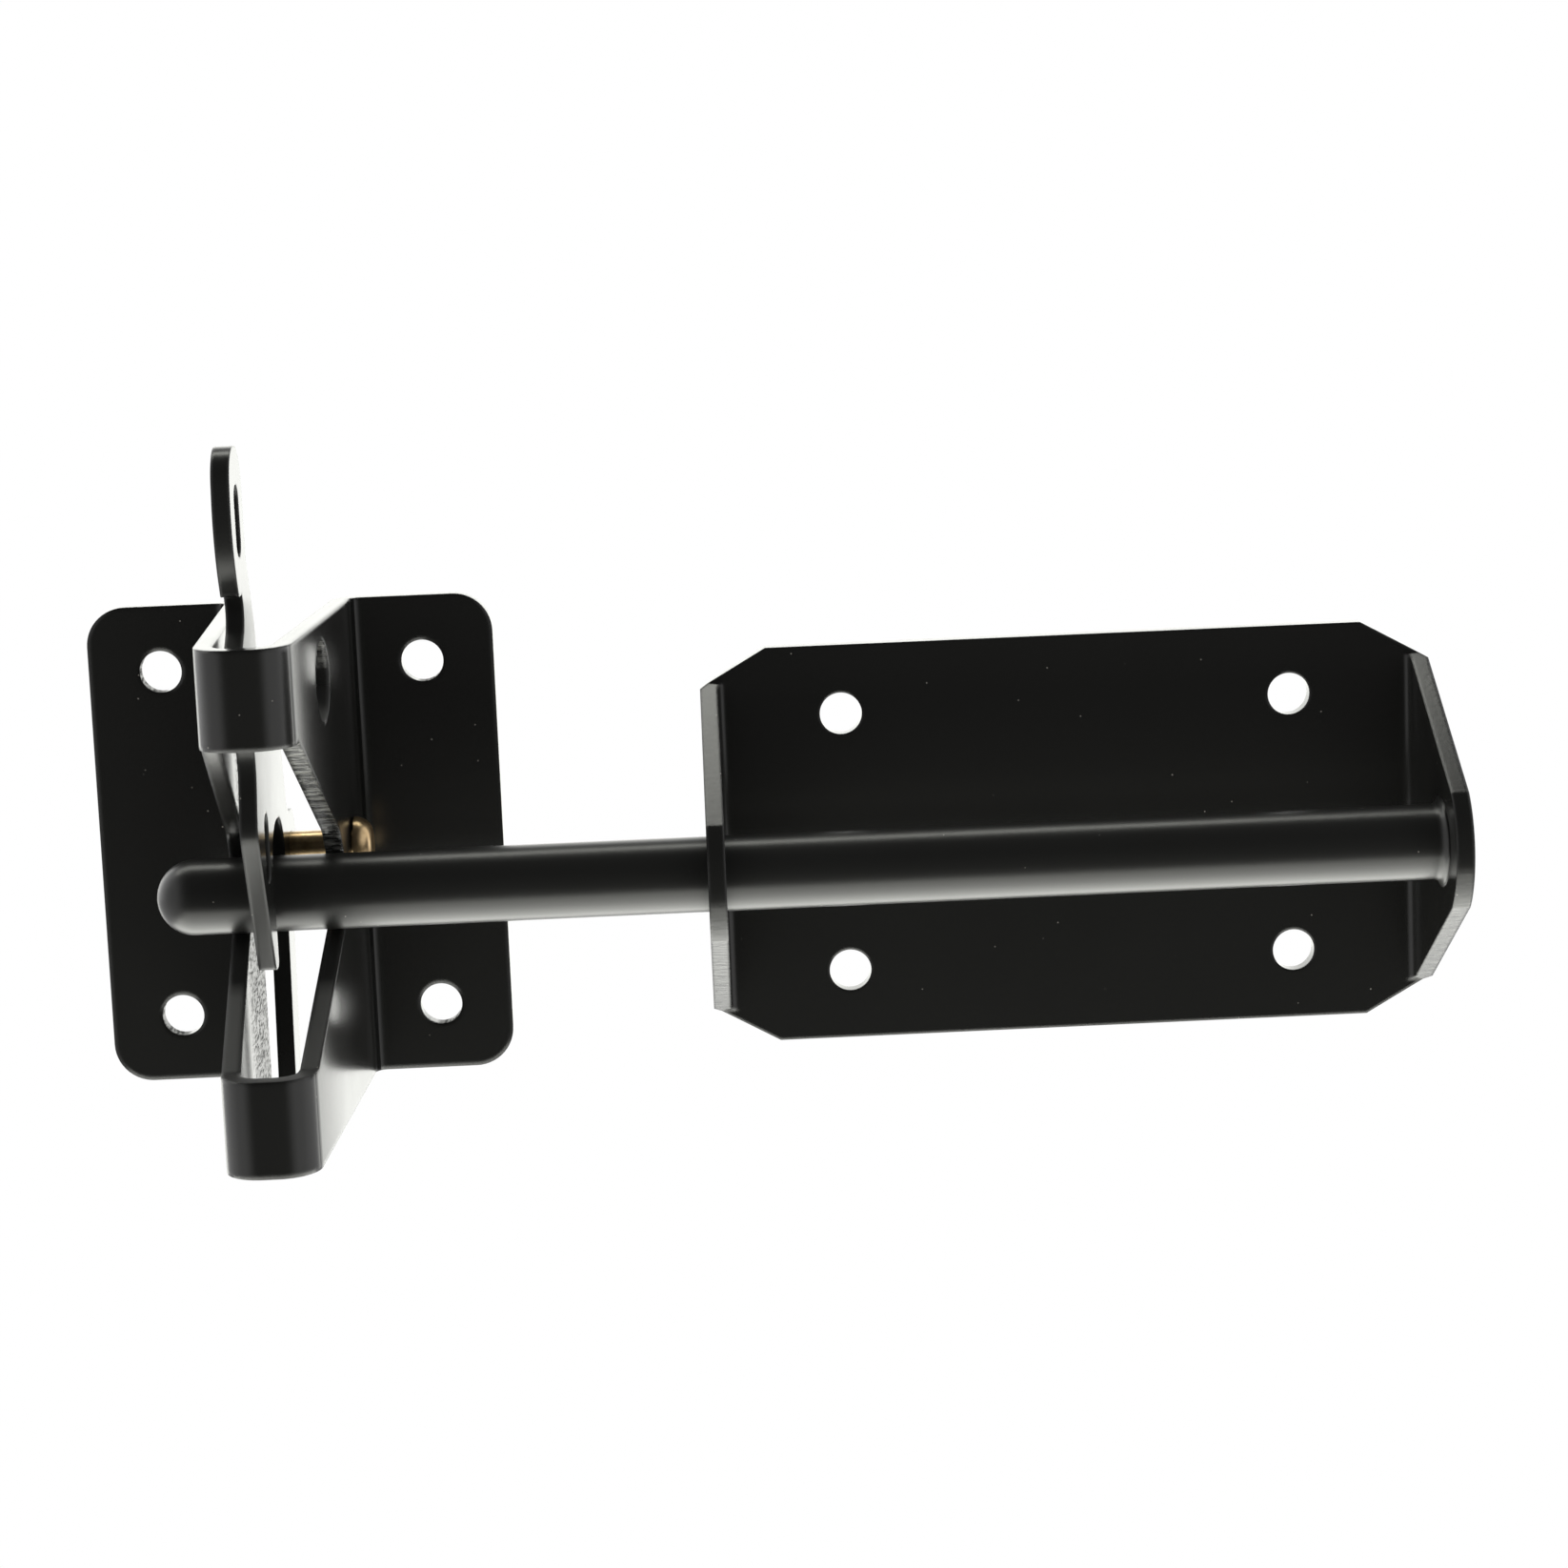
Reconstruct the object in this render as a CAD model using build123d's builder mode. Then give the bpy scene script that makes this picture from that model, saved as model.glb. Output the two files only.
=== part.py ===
from build123d import *
from math import cos, radians, tan
import os

# Gravity gate latch with its striker bar, in millimetres.
# X runs along the bar towards the striker, Z is up, and the post's face lies at Y = 0.
# Depths are distances from that face towards the viewer, so a depth d is at Y = -d.
# The origin is the centre of the latch's four screw holes.

# Sheet and screws, common to both units
sheet = 3.0
screw_hole_diameter = 7.3

# The gate's face stands a little in front of the post's
gate_step = 5.0

# Latch housing: flanges, channel and crown
plate_width = 70.2
plate_height = 84.0
plate_corner_radius = 6.7
latch_hole_spacing_x = 45.4
latch_hole_spacing_z = 61.1
crown_depth = 70.6
crown_width = 14.7
crown_bend_radius = 6.4
wall_slant = 2.9
foot_bend_radius = 2.0

# Funnel mouth: the crown is left standing as a bridge above and below it
upper_bridge_height = 15.9
lower_bridge_height = 15.7
mouth_throat_depth = 63.0
seat_clearance = 0.65
seat_rise = 4.5
seat_advance = 2.5

# Padlock holes in both walls
padlock_hole_diameter = 13.3
padlock_hole_depth = 37.0
padlock_hole_z = 32.2

# Brass pivot pin
pin_diameter = 5.5
pin_depth = 14.5
pin_z = 0.7
pin_head_diameter = 9.6
pin_head_height = 3.1
pin_dome_share = 0.95
pin_wall_clearance = 0.04
pin_head_gap = 0.05

# Bar of the striker, its axis standing off the gate's face
rod_diameter = 12.7
rod_standoff = 26.1
rod_z = -4.0
rod_tip_x = -21.2
rod_tip_radius = 6.3
rod_ear_clearance = 0.1
rod_end_recess = 0.4
weld_leg = 1.4
weld_hollow = 1.2

# Striker bracket
striker_x = 133.9
striker_length = 126.4
striker_height = 69.5
striker_chamfer_x = 11.5
striker_chamfer_z = 6.5
striker_hole_spacing_x = 78.0
striker_hole_spacing_z = 45.5
striker_bend_radius = 1.5
ear_height = 38.8
ear_shoulder_height = 34.8
ear_shoulder_width = 19.4
ear_root_overlap = 0.8

# Lever: arm, hook and leg
lever_thickness = 2.9
lever_x = -1.95
lever_pin_clearance = 0.06
head_top_z = 72.6
head_front_depth = 65.3
head_width = 15.1
head_radius = 6.4
head_top_setback = 2.1
head_bulge_z = 58.0
head_bulge_radius = 22.0
head_rake = 4.5
neck_z = 54.2
neck_radius = 6.0
step_z = 49.2
step_length = 3.6
step_radius = 0.9
arm_dip = 1.6
arm_dip_z = 44.8
arm_dip_radius = 4.0
arm_back_depth = 44.0
arm_bend_radius = 20.0
stop_z = 36.0
stop_radius = 1.5
stop_clearance = 0.7
waist_depth = 52.6
waist_z = 23.4
waist_radius = 9.0
knuckle_depth = 56.7
knuckle_z = 10.6
knuckle_radius = 5.0
shoulder_z = 22.4
shoulder_rise = 2.0
shoulder_radius = 4.0
tip_z = -14.3
tip_width = 3.6
tip_radius = 1.2
hook_clearance = 2.85
notch_headroom = 6.5
notch_radius = 7.5
leg_clearance = 0.39
leg_lean = 6.5
leg_width = 8.0
leg_bottom_z = -40.5
leg_end_radius = 2.5
boss_radius = 6.5
boss_corner_radius = 5.0
boss_neck_radius = 3.0

# Eyelet for a pull cord, and the like hole in the hook
eyelet_setback = 8.0
eyelet_z = 60.8
eyelet_width = 5.2
eyelet_height = 11.5
hook_hole_setback = 10.9
hook_hole_z = 6.4

half_plate = plate_height / 2
rod_radius = rod_diameter / 2
rod_depth = gate_step + rod_standoff
side_plane = Plane(origin=(0, 0, 0), x_dir=(0, -1, 0), z_dir=(-1, 0, 0))
pin_axis = Plane(origin=(0, -pin_depth, pin_z), x_dir=(0, -1, 0), z_dir=(1, 0, 0))
rod_plane = Plane(origin=(0, -rod_depth, rod_z), x_dir=(1, 0, 0), z_dir=(0, -1, 0))


def wall_outer_x(depth):
    return crown_width / 2 + (crown_depth - depth) * tan(radians(wall_slant))


# Latch housing: one strip folded to a hat, then punched
fold_points = [
    (-plate_width / 2, -sheet),
    (-wall_outer_x(sheet), -sheet),
    (-wall_outer_x(crown_depth), -crown_depth),
    (wall_outer_x(crown_depth), -crown_depth),
    (wall_outer_x(sheet), -sheet),
    (plate_width / 2, -sheet),
]
fold_radii = [foot_bend_radius, crown_bend_radius, crown_bend_radius, foot_bend_radius]

with BuildPart() as latch_housing:
    with BuildSketch(Plane.XY):
        with BuildLine():
            FilletPolyline(*fold_points, radius=fold_radii)
            offset(amount=sheet, side=Side.LEFT)
        make_face()
    extrude(amount=half_plate, both=True)
    fillet(latch_housing.edges().filter_by(Axis.Y), plate_corner_radius)
    # Funnel mouth, from the crown down to a rounded seat a little taller than the bar
    with BuildSketch(side_plane):
        with BuildLine():
            for advance, rise in ((0, 0), (seat_advance, seat_rise)):
                seat_centre = (rod_depth + advance, rod_z + rise)
                CenterArc(seat_centre, rod_radius + seat_clearance, 0, 360)
            Line(
                (mouth_throat_depth, half_plate - upper_bridge_height),
                (mouth_throat_depth, lower_bridge_height - half_plate),
            )
        make_hull()
        with BuildLine():
            Polyline(
                (mouth_throat_depth, half_plate - upper_bridge_height),
                (crown_depth + sheet, half_plate - upper_bridge_height),
                (crown_depth + sheet, lower_bridge_height - half_plate),
                (mouth_throat_depth, lower_bridge_height - half_plate),
                close=True,
            )
        make_face()
    extrude(amount=plate_width, both=True, mode=Mode.SUBTRACT)
    # Padlock and pin holes through both walls
    with BuildSketch(side_plane):
        with Locations((padlock_hole_depth, padlock_hole_z)):
            Circle(padlock_hole_diameter / 2)
        with Locations((pin_depth, pin_z)):
            Circle(pin_diameter / 2 + pin_wall_clearance)
    extrude(amount=plate_width, both=True, mode=Mode.SUBTRACT)
    # Screw holes in the flanges
    with BuildSketch(Plane.XZ):
        with GridLocations(latch_hole_spacing_x, latch_hole_spacing_z, 2, 2):
            Circle(screw_hole_diameter / 2)
    extrude(amount=sheet, mode=Mode.SUBTRACT)
latch_housing.part.label = "latch_housing"


# Pivot pin: domed head on the right, shank across both walls and flush with the left one
head_seat_x = wall_outer_x(pin_depth - pin_head_diameter / 2) + pin_head_gap
pin_end_x = -wall_outer_x(pin_depth)

with BuildPart() as pivot_pin:
    with BuildSketch(pin_axis.offset(pin_end_x)):
        Circle(pin_diameter / 2)
    extrude(amount=head_seat_x - pin_end_x)
    with BuildSketch(pin_axis.offset(head_seat_x)):
        Circle(pin_head_diameter / 2)
    extrude(amount=pin_head_height)
    fillet(pivot_pin.edges().sort_by(Axis.X)[-1], pin_head_height * pin_dome_share)
pivot_pin.part.label = "pivot_pin"


# Lever: the leg's front edge passes just behind the bar, and the hook hangs in front of it
def leg_front(z):
    lean = radians(leg_lean)
    return rod_depth - (rod_radius + leg_clearance) / cos(lean) - (z - rod_z) * tan(lean)


hook_back = rod_depth + rod_radius + hook_clearance
notch_top = rod_z + rod_radius + notch_headroom
step_front = head_front_depth - head_rake
head_back = head_front_depth - head_width
boss_back = pin_depth - boss_radius
boss_foot = pin_z - boss_radius
boss_top = pin_z + boss_radius
eyelet_place = (head_front_depth - eyelet_setback, eyelet_z)
hook_hole_place = (knuckle_depth - hook_hole_setback, hook_hole_z)
lever_outline = [
    # Head and arm, front edge downwards: depth, height and corner radius
    (head_front_depth - head_top_setback, head_top_z, head_radius),
    (head_front_depth, head_bulge_z, head_bulge_radius),
    (step_front, step_z, step_radius),
    (step_front - step_length, step_z, step_radius),
    (step_front - step_length - arm_dip, arm_dip_z, arm_dip_radius),
    (crown_depth - sheet - stop_clearance, stop_z, stop_radius),
    (waist_depth, waist_z, waist_radius),
    # Hook
    (knuckle_depth, knuckle_z, knuckle_radius),
    (hook_back + tip_width, tip_z, tip_radius),
    (hook_back, tip_z, tip_radius),
    # Notch over the bar
    (hook_back, notch_top, notch_radius),
    (leg_front(notch_top), notch_top, notch_radius),
    # Leg
    (leg_front(leg_bottom_z), leg_bottom_z, leg_end_radius),
    (leg_front(leg_bottom_z) - leg_width, leg_bottom_z, leg_end_radius),
    (leg_front(boss_foot) - leg_width, boss_foot - boss_neck_radius, boss_neck_radius),
    # Boss round the pin
    (boss_back, boss_foot, boss_corner_radius),
    (boss_back, boss_top, boss_corner_radius),
    (pin_depth + boss_neck_radius, boss_top, boss_neck_radius),
    # Shoulder under the padlock's shackle, then the back of the arm and head
    (pin_depth + boss_radius, shoulder_z - shoulder_rise, shoulder_radius),
    (arm_back_depth, shoulder_z, shoulder_radius),
    (arm_back_depth, half_plate, arm_bend_radius),
    (head_back, neck_z, neck_radius),
    (head_back, head_top_z, head_radius),
]

with BuildPart() as latch_lever:
    with BuildSketch(side_plane.offset(-lever_x - lever_thickness / 2)):
        with BuildLine():
            FilletPolyline(
                *[(depth, z) for depth, z, radius in lever_outline],
                radius=[radius for depth, z, radius in lever_outline],
                close=True,
            )
        make_face()
        with Locations(eyelet_place, hook_hole_place):
            SlotOverall(eyelet_height, eyelet_width, rotation=90, mode=Mode.SUBTRACT)
        with Locations((pin_depth, pin_z)):
            Circle(pin_diameter / 2 + lever_pin_clearance, mode=Mode.SUBTRACT)
    extrude(amount=lever_thickness)
latch_lever.part.label = "latch_lever"


# Striker bracket: a chamfered blank with both ends folded up as tapered ears
half_striker = striker_length / 2
half_base = striker_height / 2
ear_inner_x = half_striker - sheet
ear_root = half_base - striker_chamfer_z + ear_root_overlap
striker_centre = (striker_x, -gate_step, rod_z)
striker_top = Plane(origin=striker_centre, x_dir=(1, 0, 0), z_dir=(0, 0, 1))
striker_front = Plane(origin=striker_centre, x_dir=(1, 0, 0), z_dir=(0, -1, 0))
striker_side = Plane(origin=striker_centre, x_dir=(0, -1, 0), z_dir=(-1, 0, 0))
bracket_points = [
    (-ear_inner_x, -ear_height),
    (-ear_inner_x, -sheet),
    (ear_inner_x, -sheet),
    (ear_inner_x, -ear_height),
]

with BuildPart() as striker_bracket:
    with BuildSketch(striker_top):
        with BuildLine():
            FilletPolyline(*bracket_points, radius=striker_bend_radius)
            offset(amount=sheet, side=Side.LEFT)
        make_face()
    extrude(amount=half_base, both=True)
    # Chamfered corners of the base
    with BuildSketch(striker_front):
        with BuildLine():
            Polyline(
                (0, half_base),
                (half_striker - striker_chamfer_x, half_base),
                (half_striker, half_base - striker_chamfer_z),
                (half_striker, 0),
            )
            mirror(about=Plane.XZ)
            mirror(about=Plane.YZ)
        make_face()
    extrude(amount=ear_height, mode=Mode.INTERSECT)
    # Tapered sides and rounded tips of the ears
    with BuildSketch(striker_side):
        with BuildLine():
            Polyline(
                (0, 0),
                (0, half_base),
                (sheet, half_base),
                (sheet, ear_root),
                (ear_shoulder_height, ear_shoulder_width / 2),
            )
            mirror(about=Plane.XZ)
            ThreePointArc(
                (ear_shoulder_height, ear_shoulder_width / 2),
                (ear_height, 0),
                (ear_shoulder_height, -ear_shoulder_width / 2),
            )
        make_face()
    extrude(amount=half_striker, both=True, mode=Mode.INTERSECT)
    # Holes for the bar in both ears
    with BuildSketch(striker_side):
        with Locations((rod_standoff, 0)):
            Circle(rod_radius + rod_ear_clearance)
    extrude(amount=striker_length, both=True, mode=Mode.SUBTRACT)
    # Screw holes in the base
    with BuildSketch(striker_front):
        with GridLocations(striker_hole_spacing_x, striker_hole_spacing_z, 2, 2):
            Circle(screw_hole_diameter / 2)
    extrude(amount=sheet, mode=Mode.SUBTRACT)
striker_bracket.part.label = "striker_bracket"


# Bar with a rounded free end, welded to the inner side of the right ear
weld_x = striker_x + ear_inner_x
rod_end_x = striker_x + half_striker - rod_end_recess

with BuildPart() as striker_rod:
    with BuildSketch(rod_plane):
        with BuildLine():
            FilletPolyline(
                (rod_tip_x, 0),
                (rod_tip_x, rod_radius),
                (weld_x - weld_leg, rod_radius),
                radius=rod_tip_radius,
            )
            RadiusArc(
                (weld_x - weld_leg, rod_radius),
                (weld_x, rod_radius + weld_leg),
                -weld_leg * weld_hollow,
            )
            Polyline(
                (weld_x, rod_radius + weld_leg),
                (weld_x, rod_radius),
                (rod_end_x, rod_radius),
                (rod_end_x, 0),
                (rod_tip_x, 0),
            )
        make_face()
    revolve(axis=Axis(rod_plane.origin, (1, 0, 0)))
striker_rod.part.label = "striker_rod"

os.makedirs("parts", exist_ok=True)
for piece in (latch_housing, pivot_pin, latch_lever, striker_bracket, striker_rod):
    export_step(piece.part, f"parts/{piece.part.label}.step")
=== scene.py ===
from math import pi, radians

import bpy
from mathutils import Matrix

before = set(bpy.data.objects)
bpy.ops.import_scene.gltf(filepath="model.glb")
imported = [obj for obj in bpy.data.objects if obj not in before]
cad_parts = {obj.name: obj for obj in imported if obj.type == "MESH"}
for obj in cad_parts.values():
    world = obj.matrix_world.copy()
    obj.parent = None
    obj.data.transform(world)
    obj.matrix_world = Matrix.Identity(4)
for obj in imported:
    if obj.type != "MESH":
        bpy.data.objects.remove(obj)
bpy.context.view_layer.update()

scene = bpy.context.scene
scene.view_settings.view_transform = "Standard"
plainWhite = (1, 1, 1, 1)


# a socket with arithmetic, so that shader maths reads as an expression
class Wire:
    def __init__(self, tree, socket=None):
        self.tree = tree
        self.socket = socket

    def make(self, kind, settings=None, sockets=None, out=0):
        node = self.tree.nodes.new(kind)
        for name, value in (settings or {}).items():
            setattr(node, name, value)
        for key, value in (sockets or {}).items():
            if isinstance(value, Wire):
                self.tree.links.new(value.socket, node.inputs[key])
            else:
                node.inputs[key].default_value = value
        return Wire(self.tree, node.outputs[out])

    def math(self, operation, first, second=0.0):
        return self.make("ShaderNodeMath", {"operation": operation}, {0: first, 1: second})

    def __add__(self, other):
        return self.math("ADD", self, other)

    def __mul__(self, other):
        return self.math("MULTIPLY", self, other)

    def __sub__(self, other):
        return self.math("SUBTRACT", self, other)

    def __rsub__(self, other):
        return self.math("SUBTRACT", other, self)

    def __abs__(self):
        return self.math("ABSOLUTE", self)

    __radd__ = __add__
    __rmul__ = __mul__

    # 0 at the first limit, 1 at the second
    def step(self, start, end):
        return self.make("ShaderNodeMapRange", {"clamp": True}, {0: self, 1: start, 2: end})

    def mix(self, first, second):
        return self.make(
            "ShaderNodeMix", {"data_type": "RGBA"}, {0: self, 6: first, 7: second}, out=2
        )

    def axes(self):
        return [self.make("ShaderNodeSeparateXYZ", {}, {0: self}, out=axis) for axis in range(3)]

    # cloudy pattern at this place
    def noise(self, scale, detail, stretch=(1, 1, 1)):
        stretched = self.make("ShaderNodeMapping", {}, {"Vector": self, "Scale": stretch})
        sockets = {"Vector": stretched, "Scale": scale, "Detail": detail}
        return self.make("ShaderNodeTexNoise", {}, sockets)

    # 1 for rays from the camera, from a shiny face and through glass
    def rays(self):
        kinds = ("Is Camera Ray", "Is Glossy Ray", "Is Transmission Ray")
        return [self.make("ShaderNodeLightPath", out=kind) for kind in kinds]


def startMaterial(name):
    material = bpy.data.materials.new(name)
    material.use_nodes = True
    tree = material.node_tree
    return material, tree, tree.nodes["Principled BSDF"]


# satin black powder coat: orange peel, sheared streaks, dry overspray and a few specks of dust
def powderCoat(look):
    material, tree, shader = startMaterial(look["name"])
    wire = Wire(tree)
    place = wire.make("ShaderNodeTexCoord", out="Object")
    across, depth, rise = place.axes()
    facing = wire.make("ShaderNodeTexCoord", out="Normal").axes()
    cloud = place.noise(look["cloudScale"], look["cloudDetail"])
    peel = place.noise(look["peelScale"], look["peelDetail"])
    edge = abs(facing[0]).step(*look["cutLean"]) * rise.step(*look["cutTop"])
    cut = edge * facing[2].step(*look["cutTilt"])
    # streaks run across the sheet's thickness, where the sheet was sheared
    sheared = edge * across.step(*look["shearSide"]) * facing[2].step(*look["shearTilt"])
    streak = place.noise(look["streakScale"], look["streakDetail"], look["streakStretch"])
    # the coat is thin on them, so grey steel shows there; this grey is also a painted highlight
    # that lightens these right-hand edges
    bareSteelAndPaintedHighlight = streak.step(*look["streakBare"]) * sheared * look["shearWearAndPaintedHighlight"]
    colour = bareSteelAndPaintedHighlight.mix(look["colour"], look["shearGreyAndPaintedHighlight"])
    grain = {"Vector": place, "Scale": look["dustScale"]}
    near = wire.make("ShaderNodeTexVoronoi", {}, grain, out="Distance")
    chosen = wire.make("ShaderNodeTexVoronoi", {}, grain, out="Color").axes()[0]
    dust = near.step(*look["dustSize"]) * chosen.step(*look["dustChosen"])
    colour = (dust * look["dustStrength"]).mix(colour, look["dustColour"])
    rough = look["roughness"] + (cloud - 0.5) * look["roughnessSpread"]
    rough = rough + cut * look["cutRoughness"] + sheared * look["shearRoughness"]
    # faces that look towards the channel's middle are dull near the post, with dry overspray
    inside = (facing[0] * across).step(*look["insideReach"]) * depth.step(*look["insideDepth"])
    grit = place.noise(look["gritScale"], look["gritDetail"], look["gritStretch"])
    grains = grit.step(*look["gritGrains"]) * look["gritRoughness"]
    rough = rough + inside * (look["insideDullness"] + grains)
    softEdge = wire.make(
        "ShaderNodeBevel", {"samples": look["edgeSamples"]}, {"Radius": look["edgeRound"]}
    )
    # the fold springs back a little, so the walls bow in towards the crown
    fold = depth.step(*look["bowDepth"])
    bow = (1 - fold * fold) * abs(facing[0]).step(*look["bowLean"]) * look["bowHeight"]
    height = peel * look["peelStrength"] + streak * sheared * look["streakStrength"] + bow
    bump = wire.make(
        "ShaderNodeBump", {}, {"Height": height, "Distance": look["bumpDepth"], "Normal": softEdge}
    )
    for name, value in (("Base Color", colour), ("Roughness", rough), ("Normal", bump)):
        tree.links.new(value.socket, shader.inputs[name])
    shader.inputs["Specular IOR Level"].default_value = look["specular"]
    return material


# lengths in metres; pairs are the limits between which something fades in
sheetLook = {
    "colour": (0.0092, 0.0092, 0.0086, 1),
    "specular": 0.5,
    "roughness": 0.22,
    "roughnessSpread": 0.05,
    "cloudScale": 60.0,
    "cloudDetail": 3.0,
    "peelScale": 900.0,
    "peelDetail": 2.0,
    "peelStrength": 0.05,
    "bumpDepth": 0.0002,
    "edgeRound": 0.0008,
    "edgeSamples": 6,
    "cutLean": (0.3, 0.1),
    "cutTop": (0.0415, 0.0405),
    "cutTilt": (0.2, 0.4),
    "cutRoughness": 0.0,
    "shearSide": (0, 0.002),
    "shearTilt": (-0.2, -0.4),
    "shearRoughness": 0.05,
    # grey of the sheared edges: bare steel, and also a painted highlight
    "shearWearAndPaintedHighlight": 0.0,
    "shearGreyAndPaintedHighlight": (0.13, 0.13, 0.12, 1),
    "streakScale": 1200.0,
    "streakDetail": 4.0,
    "streakStretch": (0.25, 1, 1),
    "streakBare": (0.45, 0.65),
    "streakStrength": 0.35,
    "insideReach": (-0.0015, -0.003),
    "insideDepth": (-0.04, -0.022),
    "insideDullness": 0.0,
    "gritScale": 2800.0,
    "gritDetail": 2.0,
    "gritStretch": (1, 0.12, 1),
    "gritGrains": (0.5, 0.6),
    "gritRoughness": 0.0,
    "bowDepth": (-0.038, -0.066),
    "bowLean": (0.6, 0.9),
    "bowHeight": 0.0,
    "dustScale": 380.0,
    "dustSize": (0.06, 0.03),
    "dustChosen": (0.7, 0.75),
    "dustStrength": 0.6,
    "dustColour": (0.35, 0.33, 0.3, 1),
}
# the channel's right-hand sheared edges get that grey, partly a painted highlight
channelLook = dict(
    sheetLook, name="channelPowderCoat", insideDullness=0.15, gritRoughness=0.5,
    cutRoughness=0.28, shearWearAndPaintedHighlight=1.0, streakStrength=1.2, bowHeight=9.0, edgeRound=0.0013
)
# all of the lever's edge counts as cut
leverLook = dict(
    sheetLook, name="leverPowderCoat", cutTilt=(-2, -1.5), cutTop=(0.101, 0.1), cutRoughness=0.06
)
bracketLook = dict(sheetLook, name="bracketPowderCoat", shearRoughness=0.0)
# the bar has no cut edges
barLook = dict(sheetLook, name="barPowderCoat", roughness=0.32, cutTop=(-0.999, -1.0))


# plain turned brass, a little dulled
def turnedBrass(look):
    material, tree, shader = startMaterial(look["name"])
    place = Wire(tree).make("ShaderNodeTexCoord", out="Object")
    cloud = place.noise(look["cloudScale"], look["cloudDetail"])
    colour = cloud.step(*look["dullCloud"]).mix(look["colour"], look["dullColour"])
    rough = look["roughness"] + (cloud - 0.5) * look["roughnessSpread"]
    tree.links.new(colour.socket, shader.inputs["Base Color"])
    tree.links.new(rough.socket, shader.inputs["Roughness"])
    shader.inputs["Metallic"].default_value = 1.0
    return material


brassLook = {
    "name": "turnedBrass",
    "colour": (0.72, 0.53, 0.3, 1),
    "dullColour": (0.42, 0.29, 0.15, 1),
    "dullCloud": (0.35, 0.7),
    "roughness": 0.32,
    "roughnessSpread": 0.2,
    "cloudScale": 400.0,
    "cloudDetail": 3.0,
}

finishes = {
    "latch_housing": powderCoat(channelLook),
    "latch_lever": powderCoat(leverLook),
    "striker_bracket": powderCoat(bracketLook),
    "striker_rod": powderCoat(barLook),
    "pivot_pin": turnedBrass(brassLook),
}
for node, material in finishes.items():
    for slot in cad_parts[node].material_slots:
        slot.material = material
print("materials set")


# white sweep behind, dim room in front; what only scatters gets an even plain light
roomLook = {
    "even": 0.7,
    "front": 0.02,
    "back": 1.0,
    "backFrom": (-0.1, 0.5),
    "backTop": (0.85, 0.45),
    "side": 0.8,
    "sideFrom": (0.45, 0.75),
}


def studioWorld(look):
    world = bpy.data.worlds.new("studio")
    scene.world = world
    world.use_nodes = True
    tree = world.node_tree
    tree.nodes.clear()
    wire = Wire(tree)
    across, depth, height = wire.make("ShaderNodeTexCoord", out="Generated").axes()
    sweep = depth.step(*look["backFrom"]) * height.step(*look["backTop"])
    room = look["front"] + sweep * (look["back"] - look["front"])
    room = room + abs(across).step(*look["sideFrom"]) * look["side"]
    seen, mirrored, passed = wire.rays()
    strength = seen + passed + mirrored * room + (1 - seen - passed - mirrored) * look["even"]
    background = wire.make("ShaderNodeBackground", {}, {"Color": plainWhite, "Strength": strength})
    output = tree.nodes.new("ShaderNodeOutputWorld")
    tree.links.new(background.socket, output.inputs["Surface"])


studioWorld(roomLook)
print("world set")


# plain pale floor well below the object, plain white to the camera and in reflections
floorLook = {
    "name": "paleFloor",
    "colour": (0.85, 0.85, 0.85, 1),
    "place": (0, 3.6, -0.6),
    "size": 8.0,
}


def paleFloor(look):
    bpy.ops.object.select_all(action="DESELECT")
    bpy.ops.mesh.primitive_plane_add(size=look["size"], location=look["place"])
    floor = bpy.context.object
    floor.name = look["name"]
    material, tree, shader = startMaterial(look["name"])
    wire = Wire(tree)
    seen, mirrored, passed = wire.rays()
    white = wire.make("ShaderNodeEmission", {}, {"Color": plainWhite, "Strength": 1.0})
    shader.inputs["Base Color"].default_value = look["colour"]
    shader.inputs["Roughness"].default_value = 1.0
    lit = Wire(tree, shader.outputs[0])
    shown = wire.make("ShaderNodeMixShader", {}, {0: seen + mirrored + passed, 1: lit, 2: white})
    tree.links.new(shown.socket, tree.nodes["Material Output"].inputs["Surface"])
    floor.data.materials.append(material)


paleFloor(floorLook)
print("floor set")


# soft boxes: place and size in metres, turn in degrees, brightness where white is 1
lampColour = (0.99, 1.0, 0.93)
lampLook = {
    "lowBox": {
        "place": (0.07, 0.1, -0.5), "turn": (180, 0, 0), "size": (1.0, 0.5), "bright": 4.5
    },
    "topStrip": {
        "place": (-0.15, 0.25, 0.7), "turn": (-20, 0, 0), "size": (1.0, 0.14), "bright": 6.0
    },
    "apron": {
        "place": (0.07, -0.425, -0.5), "turn": (180, 0, 0), "size": (1.0, 0.55), "bright": 3.0
    },
    "backBox": {
        "place": (0.07, 1.0, 0.0), "turn": (-90, 0, 0), "size": (2.0, 1.2), "bright": 1.4
    },
}
for name, look in lampLook.items():
    bpy.ops.object.select_all(action="DESELECT")
    bpy.ops.object.light_add(type="AREA", location=look["place"])
    lamp = bpy.context.object
    lamp.name = name
    lamp.rotation_euler = [radians(angle) for angle in look["turn"]]
    lamp.data.color = lampColour
    lamp.data.shape = "RECTANGLE"
    lamp.data.size, lamp.data.size_y = look["size"]
    lamp.data.energy = look["bright"] * pi * lamp.data.size * lamp.data.size_y
    lamp.visible_camera = False
print("lamps set")


cameraLook = {
    "place": (0.072, -0.5958, 0.1067),
    "turn": (81.82, 2.312, -1.617),
    "sensor": 36.0,
    "lens": 78.74,
    "shiftY": -0.0562,
    "near": 0.01,
}
bpy.ops.object.select_all(action="DESELECT")
bpy.ops.object.camera_add(location=cameraLook["place"])
camera = bpy.context.object
camera.rotation_euler = [radians(angle) for angle in cameraLook["turn"]]
camera.data.sensor_width = cameraLook["sensor"]
camera.data.lens = cameraLook["lens"]
camera.data.shift_y = cameraLook["shiftY"]
camera.data.clip_start = cameraLook["near"]
scene.camera = camera
print("camera set")
